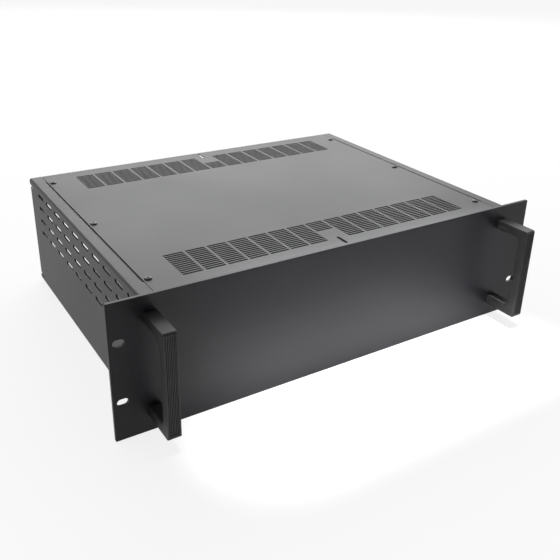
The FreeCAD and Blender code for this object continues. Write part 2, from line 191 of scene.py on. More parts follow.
def oblong(name: str, centre: Point, length: float, width: float, depth: float, axis: Across,
           along: Across) -> Piece:
    """Add a round-ended bar, as a cylinder whose halves are moved apart.

    Args:
        name: The bar's name.
        centre: Its middle.
        length: Its length from end to end.
        width: Its width.
        depth: How far it reaches along its axis.
        axis: The axis that it goes through the sheet along.
        along: The axis that it is long in.

    Returns:
        The bar, to cut a slot with.
    """
    piece = drum(name, centre, width / 2, depth, axis, SLOT_FLATS)
    reach = (length - width) / 2 * MM
    for vertex in piece.data.vertices:
        here = vertex.co[along.value] - centre[along.value] * MM
        vertex.co[along.value] += math.copysign(reach, here)
    return piece


def trace(name: str, outline: Outline, start: float, end: float,
          axis: Across) -> Piece:
    """Trace an outline, fill it and extrude it.

    Args:
        name: The piece's name.
        outline: The outline's points in the two other axes, in X, Y, Z order.
        start: Where the extrusion starts along its axis.
        end: Where it ends.
        axis: The axis that it is extruded along.

    Returns:
        The closed prism.
    """
    deselect_all()
    bpy.ops.mesh.primitive_circle_add(vertices=len(outline), radius=MM, fill_type="NGON")
    piece = bpy.context.object
    piece.name = name
    others = [place for place in range(3) if place != axis.value]
    for vertex, point in zip(piece.data.vertices, outline):
        vertex.co[others[0]], vertex.co[others[1]] = point[0] * MM, point[1] * MM
        vertex.co[axis.value] = start * MM
    move = [0.0, 0.0, 0.0]
    move[axis.value] = (end - start) * MM
    bpy.ops.object.mode_set(mode="EDIT")
    bpy.ops.mesh.select_all(action="SELECT")
    bpy.ops.mesh.extrude_region_move(TRANSFORM_OT_translate={"value": move})
    face_out()
    return piece


def turned(name: str, rings: Outline, sides: int) -> Piece:
    """Build a turned shape by extruding and scaling one ring after another.

    Args:
        name: The piece's name.
        rings: Radius and height of each ring, from the lowest up.
        sides: How many flats the round has.

    Returns:
        The closed shape, about the Z axis.
    """
    deselect_all()
    radius, height = rings[0]
    bpy.ops.mesh.primitive_circle_add(
        vertices=sides, radius=radius * MM, fill_type="NGON", location=(0, 0, height * MM))
    piece = bpy.context.object
    piece.name = name
    settle(piece)
    bpy.ops.object.mode_set(mode="EDIT")
    bpy.ops.mesh.select_all(action="SELECT")
    for next_radius, next_height in rings[1:]:
        rise = (0, 0, (next_height - height) * MM)
        bpy.ops.mesh.extrude_region_move(TRANSFORM_OT_translate={"value": rise})
        factor = next_radius / radius
        bpy.ops.transform.resize(value=(factor, factor, 1), center_override=(0, 0, 0))
        radius, height = next_radius, next_height
    face_out()
    return piece


def finish_modifier(piece: Piece, kind: str, **settings: object) -> None:
    """Add a modifier with its settings and apply it.

    Args:
        piece: The piece that gets it.
        kind: The modifier's type.
        **settings: Its properties.
    """
    pick(piece)
    modifier = piece.modifiers.new(kind.lower(), kind)
    for key, value in settings.items():
        setattr(modifier, key, value)
    bpy.ops.object.modifier_apply(modifier=modifier.name)


def repeat(piece: Piece, step: Point, count: int) -> None:
    """Repeat a piece in a row, within its own mesh.

    Args:
        piece: The piece.
        step: The way from one to the next.
        count: How many there are in the end.
    """
    finish_modifier(
        piece, "ARRAY", count=count, use_relative_offset=False, use_constant_offset=True,
        constant_offset_displace=[s * MM for s in step])


def combine(piece: Piece, other: Piece, joint: Joint) -> None:
    """Cut, or join with, another shape and take that shape away.

    Args:
        piece: The piece that stays.
        other: The shape that cuts it or is joined to it.
        joint: Whether it cuts or joins.
    """
    finish_modifier(piece, "BOOLEAN", operation=joint.value, object=other, solver="EXACT")
    mesh = other.data
    bpy.data.objects.remove(other)
    bpy.data.meshes.remove(mesh)


def cut(piece: Piece, *tools: Piece) -> None:
    """Cut a piece with each tool in turn, and take the tools away."""
    for tool in tools:
        combine(piece, tool, Joint.CUT)


def merge(pieces: list[Piece]) -> Piece:
    """Join separate shapes into the first one's mesh.

    Args:
        pieces: The shapes, which don't touch.

    Returns:
        The first shape, which holds them all.
    """
    deselect_all()
    for piece in pieces:
        piece.select_set(True)
    bpy.context.view_layer.objects.active = pieces[0]
    bpy.ops.object.join()
    return pieces[0]


def ease(piece: Piece, width: float, segments: int = 2, angle: float = SHARP,
         smooth: bool = True) -> None:
    """Round the sharp edges of a piece a little.

    Args:
        piece: The piece.
        width: The width of the rounding.
        segments: How many strips it has.
        angle: The least turn, in degrees, of an edge that gets it.
        smooth: Whether the piece is shaded smooth up to its sharp edges.
    """
    finish_modifier(
        piece, "BEVEL", width=width * MM, segments=segments, limit_method="ANGLE",
        angle_limit=math.radians(angle), use_clamp_overlap=True, harden_normals=False)
    if smooth:
        shade(piece, angle)


def shade(piece: Piece, angle: float = SHARP) -> None:
    """Shade smooth up to the sharp edges, with the large faces kept flat.

    Args:
        piece: The piece.
        angle: The least turn, in degrees, of an edge that stays sharp.
    """
    pick(piece)
    bpy.ops.object.shade_smooth_by_angle(angle=math.radians(angle))
    finish_modifier(piece, "WEIGHTED_NORMAL", keep_sharp=True, weight=100)


def arc(centre: Pair, radius: float, start: float, end: float,
        steps: int = 6) -> Outline:
    """Work out the points of an arc.

    Args:
        centre: Its centre.
        radius: Its radius.
        start: The angle that it starts at, in degrees.
        end: The angle that it ends at.
        steps: How many straight pieces it has.

    Returns:
        The points, with both ends.
    """
    points = []
    for step in range(steps + 1):
        angle = math.radians(start + (end - start) * step / steps)
        points.append((centre[0] + radius * math.cos(angle),
                       centre[1] + radius * math.sin(angle)))
    return points


# Materials.


def linear(colour: str) -> tuple[float, float, float, float]:
    """Turn an sRGB colour into linear red, green, blue and alpha.

    Args:
        colour: A hash and six hex digits.

    Returns:
        The four parts.
    """
    parts = [int(colour[place:place + 2], 16) / 255 for place in (1, 3, 5)]
    bent = [p / 12.92 if p <= 0.04045 else ((p + 0.055) / 1.055) ** 2.4 for p in parts]
    return (bent[0], bent[1], bent[2], 1.0)


def add_node(tree: bpy.types.NodeTree, kind: str, links: dict[str, object] | None = None,
             values: dict[str, object] | None = None, **settings: object) -> bpy.types.Node:
    """Add one node with its settings, values and incoming links.

    Args:
        tree: The node tree.
        kind: The node's type.
        links: Input name to the output socket that feeds it.
        values: Input name to its value.
        **settings: The node's own properties.

    Returns:
        The node.
    """
    node = tree.nodes.new(kind)
    for key, value in settings.items():
        setattr(node, key, value)
    for key, value in (values or {}).items():
        node.inputs[key].default_value = value
    for key, socket in (links or {}).items():
        tree.links.new(socket, node.inputs[key])
    return node


# The noises of every coat, where the speckle changes colour, and how far the noises' sum goes.
GRAIN_NOISE = {"Detail": 2.0, "Roughness": 0.55}
CLOUD_NOISE = {"Scale": 11.0, "Detail": 2.0, "Roughness": 0.5}
SPECK_FROM, SPECK_TO = 0.38, 0.74
NOISE_RANGE = {"From Min": 0.6, "From Max": 1.4}


@dataclass(frozen=True)
class Coat:
    """A coat or moulded surface with a fine grain.

    Attributes:
        name: The material's name.
        colour: Its main colour.
        pale: The colour of the lighter specks of the grain.
        roughness: Its mean roughness.
        spread: How far the roughness varies.
        grain: The grain's size in millimetres.
        relief: The grain's height in millimetres.
        gloss: The specular level.
    """

    name: str
    colour: str
    pale: str
    roughness: float
    spread: float
    grain: float
    relief: float
    gloss: float = 0.5

    def make(self) -> Finish:
        """Build the node tree.

        Returns:
            The material.
        """
        material = bpy.data.materials.new(self.name)
        material.use_nodes = True
        tree = material.node_tree
        shader = tree.nodes["Principled BSDF"]
        place = add_node(tree, "ShaderNodeTexCoord").outputs["Object"]
        # The sprayed grain: its size is the real one, in turns of the noise per metre.
        grain = add_node(tree, "ShaderNodeTexNoise", {"Vector": place},
                         {"Scale": 1 / (self.grain * MM), **GRAIN_NOISE})
        # Wide faint clouds from the spray gun's passes, about 90 mm across.
        cloud = add_node(tree, "ShaderNodeTexNoise", {"Vector": place}, CLOUD_NOISE)
        speck = add_node(tree, "ShaderNodeValToRGB", {"Fac": grain.outputs["Fac"]})
        dark, light = speck.color_ramp.elements
        dark.position, dark.color = SPECK_FROM, linear(self.colour)
        light.position, light.color = SPECK_TO, linear(self.pale)
        tree.links.new(speck.outputs["Color"], shader.inputs["Base Color"])
        mixed = add_node(tree, "ShaderNodeMath", {0: cloud.outputs["Fac"],
                                                  1: grain.outputs["Fac"]}, operation="ADD")
        rough = add_node(tree, "ShaderNodeMapRange", {"Value": mixed.outputs[0]},
                         {**NOISE_RANGE, "To Min": self.roughness - self.spread,
                          "To Max": self.roughness + self.spread})
        tree.links.new(rough.outputs[0], shader.inputs["Roughness"])
        bump = add_node(tree, "ShaderNodeBump", {"Height": grain.outputs["Fac"]},
                        {"Strength": 1.0, "Distance": self.relief * MM})
        tree.links.new(bump.outputs["Normal"], shader.inputs["Normal"])
        shader.inputs["Specular IOR Level"].default_value = self.gloss
        return material


# Polyester powder, sprayed and baked: the eye gets a soft charcoal sheen that never mirrors,
# with a fine orange peel. The real peel is about 0.4 mm, drawn coarser so that it shows.
CASE_COAT = Coat("black_powder_coat", "#222224", "#313134", roughness=0.52, spread=0.03,
                 grain=1.1, relief=0.010, gloss=0.45)
# The same powder in a smoother, darker satin: deep black with a faint cool cast.
PANEL_COAT = Coat("black_satin_powder_coat", "#151418", "#1c1b20", roughness=0.40,
                  spread=0.03, grain=1.1, relief=0.006, gloss=0.24)
# Steel blackened in an oxide bath: dark, a little shinier than paint, with small highlights.
SCREW_COAT = Coat("black_oxide_steel", "#29292b", "#363638", roughness=0.36, spread=0.05,
                  grain=0.6, relief=0.004)
# Moulded ABS from a lightly eroded tool: a dull, even black. Its grain of about 0.2 mm is
# drawn coarser so that it shows.
HANDLE_PLASTIC = Coat("moulded_black_abs", "#171717", "#212121", roughness=0.54, spread=0.04,
                      grain=0.9, relief=0.014, gloss=0.42)
# The same plastic extruded in ribs: matt, so that only the tops of the ribs catch light.
GRIP_PLASTIC = Coat("ribbed_black_abs", "#121213", "#1b1b1d", roughness=0.50, spread=0.04,
                    grain=0.7, relief=0.008)


def dress(piece: Piece, material: Finish, slot: str,
          *nodes: str) -> None:
    """Give a piece its material and its body, and hide the nodes that it stands for.

    Args:
        piece: The finished piece.
        material: Its material.
        slot: The record's material slot; not used.
        *nodes: The solid model's nodes that it replaces.
    """
    settle(piece)
    piece.data.materials.clear()
    piece.data.materials.append(material)
    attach(piece, "root")
    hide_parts(*nodes)
    LOG.info("%s: %d faces", piece.name, len(piece.data.polygons))


# The pieces of the chassis.


@dataclass(frozen=True)
class Layout:
    """Sizes that several pieces share.

    Attributes:
        half_width: Half the body's width.
        half_height: Half the body's height.
        depth: The body's depth.
        panel_sheet: The front panel's thickness.
        side_sheet: A side panel's thickness.
        cover_sheet: A cover's thickness.
        screw_line: The X of the cover screws.
        screw_start: The Y of the first cover screw.
        screw_pitch: From one cover screw to the next.
        screw_count: How many cover screws stand in a line.
        handle_x: The X of a handle's middle and of its screws.
        handle_z: The Z of a handle's screws.
        clear: The radius of a hole that a screw passes through.
        tapped: The radius of a hole that a screw is held in.
        tool: The depth of the shapes that cut slots and holes into a thin sheet.
        past: How far a cutting shape reaches past the face that it cuts.
    """

    half_width: float = 211.5
    half_height: float = 63.5
    depth: float = 331.0
    panel_sheet: float = 3.0
    side_sheet: float = 1.5
    cover_sheet: float = 1.2
    screw_line: float = 192.2
    screw_start: float = 28.0
    screw_pitch: float = 137.5
    screw_count: int = 3
    handle_x: float = 204.3
    handle_z: float = 45.3
    clear: float = 2.25
    tapped: float = 2.05
    tool: float = 6.0
    past: float = 1.0


CASE = Layout()


@dataclass
class FrontPanel:
    """Flat plate with four rack slots and the four holes of the handle screws.

    Attributes:
        width: Its width.
        height: Its height.
        corner: The radius of its corners.
        corner_steps: How many flats a corner has.
        pitch: From one slot to the next, across and up.
        slot: A slot's length and width.
        tool: The depth of the shapes that cut through it.
        soft: The width and number of strips of the rounding of its edges.
    """

    width: float = 482.6
    height: float = 132.5
    corner: float = 1.0
    corner_steps: int = 4
    pitch: Pair = (465.1, 57.15)
    slot: Pair = (10.3, 7.0)
    tool: float = 8.0
    soft: tuple[float, int] = (0.35, 3)

    def build(self, material: Finish) -> None:
        """Build and dress the panel.

        Args:
            material: Its coat.
        """
        across, up = self.width / 2 - self.corner, self.height / 2 - self.corner
        outline: Outline = []
        for x, z, start in ((1, 1, 0), (-1, 1, 90), (-1, -1, 180), (1, -1, 270)):
            outline += arc((x * across, z * up), self.corner, start, start + 90,
                           self.corner_steps)
        panel = trace("front_plate", outline, -CASE.panel_sheet, 0, Across.Y)
        middle = -CASE.panel_sheet / 2
        for x in SIGNS:
            for z in SIGNS:
                slot_at = (x * self.pitch[0] / 2, middle, z * self.pitch[1] / 2)
                hole_at = (x * CASE.handle_x, middle, z * CASE.handle_z)
                cut(panel,
                    oblong("slot", slot_at, *self.slot, self.tool, Across.Y, Across.X),
                    drum("hole", hole_at, CASE.clear, self.tool, Across.Y))
        ease(panel, *self.soft)
        dress(panel, material, "panel_finish", "front_panel")


@dataclass
class SidePanel:
    """One folded side: strips with stepped ledges, end returns, reliefs and vent slots.

    It is built with X from its outer face inwards, and then put at its end of the chassis.

    Attributes:
        side: Its end of the chassis.
        bend: The inside radius of its folds.
        fold_steps: How many flats a long fold has, outside and inside.
        strip: A strip's width up to the end of the ledge's step.
        strip_end: A strip's width before and behind the ledge.
        turn: How far in an end return reaches.
        ledge: How far in a ledge reaches.
        ledge_run: Where a ledge starts and ends along Y.
        joggle: The step's run, its overlap on the strip, and its lower face's set-back.
        edge_cut: How far the cut for a ledge reaches aside of the step's end, and below.
        relief: A corner relief's length, height, and its middle's way from the top.
        slot: A vent slot's length and width.
        slot_start: The Y and Z of the first slot's middle.
        slot_pitch: From one slot to the next, along Y and Z.
        slot_count: How many slots there are, along Y and Z.
        reach: How far in the shapes that cut the web reach.
        tall_tool: The depth of the shape that cuts holes into both ledges.
        soft: The width of the rounding of its edges.
    """

    side: Side
    bend: float = 1.0
    fold_steps: tuple[int, int] = (12, 8)
    strip: float = 13.4
    strip_end: float = 13.9
    turn: float = 14.3
    ledge: float = 25.0
    ledge_run: Pair = (24.0, 310.5)
    joggle: tuple[float, float, float] = (1.2, 1.5, 0.6)
    edge_cut: Pair = (2.0, 0.5)
    relief: tuple[float, float, float] = (14.0, 3.0, 7.8)
    slot: Pair = (20.0, 4.0)
    slot_start: Pair = (17.5, 9.1)
    slot_pitch: Pair = (30.0, 15.0)
    slot_count: tuple[int, int] = (10, 4)
    reach: float = 3.0
    tall_tool: float = 140.0
    soft: float = 0.16

    def channel(self) -> Piece:
        """Extrude the folded section of web and strips.

        Returns:
            The folded sheet.
        """
        top, sheet = CASE.half_height, CASE.side_sheet
        big = self.bend + sheet
        lower, upper = (big, -top + big), (big, top - big)
        outer, inner = self.fold_steps
        outline = arc(lower, big, 270, 180, outer)
        outline += arc(upper, big, 180, 90, outer)
        outline += [(self.strip_end, top), (self.strip_end, top - sheet)]
        outline += arc(upper, self.bend, 90, 180, inner)
        outline += arc(lower, self.bend, 180, 270, inner)
        outline += [(self.strip_end, -top + sheet), (self.strip_end, -top)]
        return trace("side_web", outline, 0, CASE.depth, Across.Y)

    def reliefs(self) -> list[Piece]:
        """Make the tools that free the end returns from the strips.

        Returns:
            The four blocks.
        """
        length, height, inset = self.relief
        tools = []
        for level in SIGNS:
            middle = level * (CASE.half_height - inset)
            low, high = middle - height / 2, middle + height / 2
            for start, end in ((-CASE.past, length),
                               (CASE.depth - length, CASE.depth + CASE.past)):
                tools.append(block("relief", (-CASE.past, start, low),
                                   (self.reach, end, high)))
        return tools

    def end_return(self, rear: bool) -> Piece:
        """Extrude one end return with its fold.

        Args:
            rear: Whether it is the one at the back.

        Returns:
            The return, between its two reliefs.
        """
        sheet, big = CASE.side_sheet, self.bend + CASE.side_sheet
        _, height, inset = self.relief
        top = CASE.half_height - inset - height / 2
        outline: Outline = [(0, big)]
        outline += arc((big, big), big, 180, 270)[1:]
        outline += [(self.turn, 0), (self.turn, sheet)]
        outline += arc((big, big), self.bend, 270, 180)
        if rear:
            outline = [(x, CASE.depth - y) for x, y in outline]
        return trace("return", outline, -top, top, Across.Z)

    def ledges(self) -> list[Piece]:
        """Extrude the two ledges, which step down by a cover's thickness.

        Returns:
            The lower and the upper ledge.
        """
        run, overlap, back = self.joggle
        start, end = self.strip - run, self.strip
        down, sheet = CASE.cover_sheet, CASE.side_sheet
        section = [(start - overlap, 0), (start, 0), (end, down), (self.ledge, down),
                   (self.ledge, down + sheet), (end - back, down + sheet),
                   (start - back, sheet), (start - overlap, sheet)]
        made = []
        for level in SIGNS:
            outline = [(x, level * (CASE.half_height - z)) for x, z in section]
            made.append(trace("ledge", outline, *self.ledge_run, Across.Y))
        return made

    def clear_edges(self, panel: Piece) -> None:
        """Cut away what the ledges and the end returns take the place of.

        Args:
            panel: The folded sheet.
        """
        top, big = CASE.half_height, self.bend + CASE.side_sheet
        aside, under = self.edge_cut
        for level in SIGNS:
            low, high = sorted((level * (top - CASE.side_sheet - under),
                                level * (top + CASE.past)))
            cut(panel, block("edge", (self.strip - aside, self.ledge_run[0], low),
                             (self.strip + aside, self.ledge_run[1], high)))
        top -= self.relief[2]
        for low, high in ((-CASE.past, big), (CASE.depth - big, CASE.depth + CASE.past)):
            cut(panel, block("end", (-CASE.past, low, -top), (self.reach, high, top)))

    def bore(self, panel: Piece) -> None:
        """Cut the holes of the cover screws and of the handle screws.

        Args:
            panel: The folded sheet with its ledges and returns.
        """
        inset = CASE.half_width - CASE.screw_line
        holes = drum("holes", (inset, CASE.screw_start, 0), CASE.tapped, self.tall_tool,
                     Across.Z)
        repeat(holes, (0, CASE.screw_pitch, 0), CASE.screw_count)
        cut(panel, holes)
        inset = CASE.half_width - CASE.handle_x
        for level in SIGNS:
            at = (inset, CASE.side_sheet / 2, level * CASE.handle_z)
            cut(panel, drum("hole", at, CASE.clear, CASE.tool, Across.Y))

    def build(self, material: Finish) -> None:
        """Build and dress the side.

        Args:
            material: Its coat.
        """
        panel = self.channel()
        cut(panel, *self.reliefs())
        self.clear_edges(panel)
        slots = oblong("slots", (CASE.side_sheet / 2, *self.slot_start), *self.slot,
                       CASE.tool, Across.X, Across.Y)
        repeat(slots, (0, self.slot_pitch[0], 0), self.slot_count[0])
        repeat(slots, (0, 0, self.slot_pitch[1]), self.slot_count[1])
        cut(panel, slots)
        for part in [*self.ledges(), self.end_return(False), self.end_return(True)]:
            combine(panel, part, Joint.JOIN)
        self.bore(panel)
        ease(panel, self.soft, smooth=False)
        panel.location.x = -CASE.half_width * MM
        settle(panel)
        if self.side is Side.RIGHT:
            panel.scale.x = -1
            settle(panel)
            bpy.ops.object.mode_set(mode="EDIT")
            face_out()
        name = self.side.name.lower()
        panel.name = f"{name}_folded_side"
        dress(panel, material, "case_finish", f"{name}_side_panel")


@dataclass
class Cover:
    """Flat cover sheet with its screw holes, and on top its vents and middle holes.

    Attributes:
        name: Its node in the solid model.
        low: The Z of its lower face.
        high: The Z of its upper face.
        vented: Whether it has vents.
        half_width: Half its width.
        front: The Y of its front edge.
        vent: A vent's length and width.
        vent_margin: From the body's front or back to the first vent.
        vent_pitch: From one vent to the next, along X and Y.
        groups: How many vents stand in a row on each side of the middle.
        rows: How many rows there are at the front, and at the back.
        short_rows: How many of them the middle group has.
        hole: A middle hole's length and width.
        hole_margin: From the body's front or back to that hole's middle.
        soft: The width of the chamfer of its edges.
    """

    name: str
    low: float
    high: float
    vented: bool
    half_width: float = 197.1
    front: float = 0.2
    vent: Pair = (19.4, 2.1)
    vent_margin: float = 19.4
    vent_pitch: Pair = (22.0, 3.85)
    groups: int = 7
    rows: int = 12
    short_rows: int = 6
    hole: Pair = (16.0, 3.2)
    hole_margin: float = 13.7
    soft: float = 0.12

    def vents(self) -> list[Piece]:
        """Make the tools that cut the vent groups and the middle holes.

        Returns:
            One tool for all the vents, and one for each middle hole.
        """
        length, width = self.vent
        across, along = self.vent_pitch
        rear = CASE.depth - self.vent_margin - (self.rows - 1) * along - width
        inner = self.vent_margin + (self.rows - self.short_rows) * along
        # Each field of vents: its first X and Y, and how many there are along X and Y.
        fields = [(middle, start, self.groups, self.rows) for start in (self.vent_margin, rear)
                  for middle in (-self.groups * across, across)]
        fields += [(0, start, 1, self.short_rows) for start in (inner, rear)]
        tools = []
        for middle, start, groups, rows in fields:
            tool = block("vent", (middle - length / 2, start, self.low - CASE.past),
                         (middle + length / 2, start + width, self.high + CASE.past))
            repeat(tool, (across, 0, 0), groups)
            repeat(tool, (0, along, 0), rows)
            tools.append(tool)
        middle_z = (self.low + self.high) / 2
        holes = [oblong("hole", (0, y, middle_z), *self.hole, CASE.tool, Across.Z, Across.Y)
                 for y in (self.hole_margin, CASE.depth - self.hole_margin)]
        return [merge(tools), *holes]

    def build(self, material: Finish) -> None:
        """Build and dress the cover.

        Args:
            material: Its coat.
        """
        sheet = block(f"{self.name}_sheet", (-self.half_width, self.front, self.low),
                      (self.half_width, CASE.depth, self.high))
        middle_z = (self.low + self.high) / 2
        for sign in SIGNS:
            holes = drum("holes", (sign * CASE.screw_line, CASE.screw_start, middle_z),
                         CASE.clear, CASE.tool, Across.Z)
            repeat(holes, (0, CASE.screw_pitch, 0), CASE.screw_count)
            cut(sheet, holes)
        if self.vented:
            cut(sheet, *self.vents())
        ease(sheet, self.soft, 1, smooth=False)
        dress(sheet, material, "case_finish", self.name)


@dataclass
class Screw:
    """Pan head screw with a cross recess and a thread of fine grooves.

    Attributes:
        shank: The shank's radius.
        groove: The depth of the thread's grooves and of the tip's chamfer.
        pitch: From one groove to the next.
        neck: How far below the head the thread ends and the neck begins.
        head: The head's radius.
        height: The head's height.
        seat: The chamfer under the head's rim.
        dome: The head's outline above: way in from the rim and share of the height.
        crown: The radius of the flat on top.
        recess: Half the width, half the length and the depth of the cross's slots.
        flats: How many flats the round has.
    """

    shank: float = 2.0
    groove: float = 0.35
    pitch: float = 0.7
    neck: Pair = (1.0, 0.7)
    head: float = 3.4
    height: float = 1.5
    seat: float = 0.1
    dome: tuple[Pair, ...] = (
        (0.0, 0.35), (0.15, 0.58), (0.5, 0.78), (1.0, 0.9), (1.7, 0.97))
    crown: float = 0.9
    recess: tuple[float, float, float] = (0.42, 1.8, 1.1)
    flats: int = 28

    def profile(self, length: float) -> Outline:
        """Work out the screw's outline.

        Args:
            length: How far its shank goes down.

        Returns:
            Radius and height of each ring, from the tip to the crown.
        """
        core, height = self.shank - self.groove, self.groove - length
        thread_end, neck_start = self.neck
        rings: Outline = [(core - self.groove, -length), (core, height)]
        while height + self.pitch < -thread_end:
            rings += [(self.shank, height + self.pitch / 2), (core, height + self.pitch)]
            height += self.pitch
        rings += [(self.shank, -neck_start), (self.shank, 0), (self.head - self.seat, 0),
                  (self.head, self.seat)]
        rings += [(self.head - inside, share * self.height) for inside, share in self.dome]
        return [*rings, (self.crown, self.height)]

    def master(self, length: float) -> Piece:
        """Build one screw with its head standing on Z = 0.

        Args:
            length: How far its shank goes down.

        Returns:
            The screw.
        """
        screw = turned("screw", self.profile(length), self.flats)
        narrow, long, depth = self.recess
        for across, along in ((narrow, long), (long, narrow)):
            cut(screw, block("recess", (-across, -along, self.height - depth),
                             (across, along, self.height + CASE.past)))
        shade(screw)
        return screw

    def place(self, master: Piece, name: str, at: Point, turn: Matrix, spin: float,
              material: Finish) -> None:
        """Copy the master to one place, with a mesh of its own.

        Args:
            master: The screw to copy.
            name: The node that the copy stands for.
            at: Where the head stands.
            turn: How the screw is turned.
            spin: How far the recess is turned about the screw, in degrees.
            material: Its finish.
        """
        pick(master)
        bpy.ops.object.duplicate()
        copy = bpy.context.object
        copy.name = f"{name}_detail"
        spun = Matrix.Rotation(math.radians(spin), 4, "Z")
        copy.matrix_world = Matrix.Translation(Vector(at) * MM) @ turn @ spun
        dress(copy, material, "black_screw", name)


@dataclass
class ScrewSet:
    """All the screws of the covers and handles.

    Attributes:
        screw: The shape of them all.
        cover_length: How far a cover screw goes down.
        handle_length: How far a handle screw goes in.
        spins: How far each cover screw's recess is turned, in degrees.
        handle_spin: The same of a handle screw, one way below and the other above.
    """

    screw: Screw = field(default_factory=Screw)
    cover_length: float = 8.0
    handle_length: float = 12.0
    spins: tuple[float, ...] = (12, 57, 31, 78, 5, 40)
    handle_spin: float = 20.0

    def build(self, material: Finish) -> None:
        """Build and dress every screw.

        Args:
            material: Their finish.
        """
        short = self.screw.master(self.cover_length)
        long = self.screw.master(self.handle_length)
        over = Matrix.Rotation(math.pi, 4, "X")
        inwards = Matrix.Rotation(-math.pi / 2, 4, "X")
        for cover, level, turn in (("top_cover", CASE.half_height, Matrix.Identity(4)),
                                   ("bottom_cover", -CASE.half_height, over)):
            for order, side in enumerate(Side):
                for number in range(CASE.screw_count):
                    at = (side.value * CASE.screw_line,
                          CASE.screw_start + number * CASE.screw_pitch, level)
                    name = f"{cover}_screw_{side.name.lower()}_{number + 1}"
                    spin = self.spins[order * CASE.screw_count + number]
                    self.screw.place(short, name, at, turn, spin, material)
        for side in Side:
            for end, sign in (("lower", -1), ("upper", 1)):
                at = (side.value * CASE.handle_x, CASE.side_sheet, sign * CASE.handle_z)
                name = f"{side.name.lower()}_handle_screw_{end}"
                self.screw.place(long, name, at, inwards, sign * self.handle_spin, material)
        for master in (short, long):
            bpy.data.objects.remove(master)


